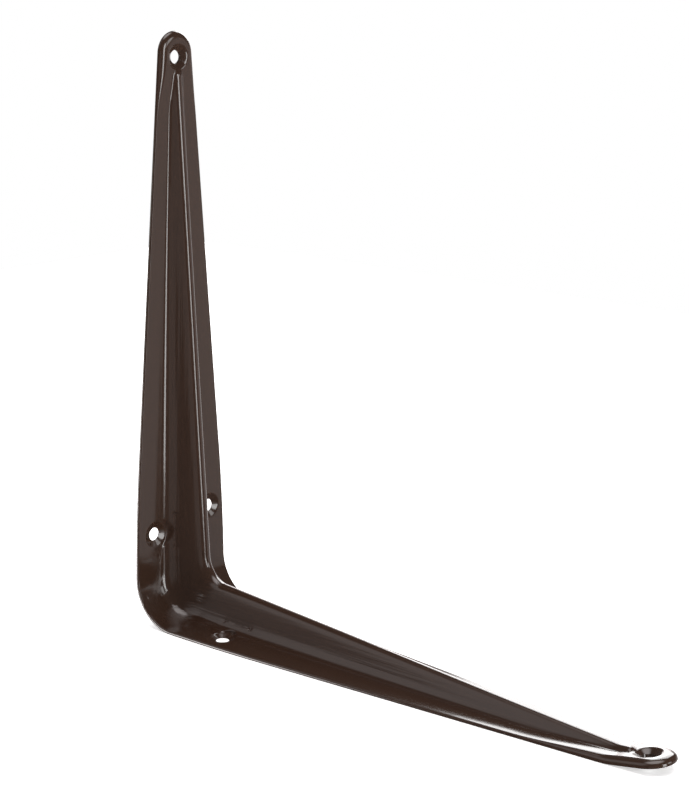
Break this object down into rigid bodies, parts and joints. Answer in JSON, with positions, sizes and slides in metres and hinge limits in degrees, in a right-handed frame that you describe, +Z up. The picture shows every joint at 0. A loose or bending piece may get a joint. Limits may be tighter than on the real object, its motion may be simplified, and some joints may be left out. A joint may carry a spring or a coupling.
{
  "type": "pressed steel shelf bracket",
  "caption": "Right-angle sheet-steel shelf bracket with tapered arms, a hollow stiffening rib round the inner corner and dished screw holes, gloss painted.",
  "frame": {"origin": "the outer corner, where the back planes of the wall arm and of the shelf arm meet, midway across the bracket", "axes": "+Z up the wall arm, +X out along the shelf arm and away from the wall, +Y across the bracket; the back of the wall arm lies in x = 0 and the underside of the shelf arm in z = 0"},
  "size_m": [0.2, 0.042, 0.2],
  "materials": {
    "paint": "gloss"
  },
  "bodies": {
    "root": {"bracket": "paint"}
  },
  "joints": []
}
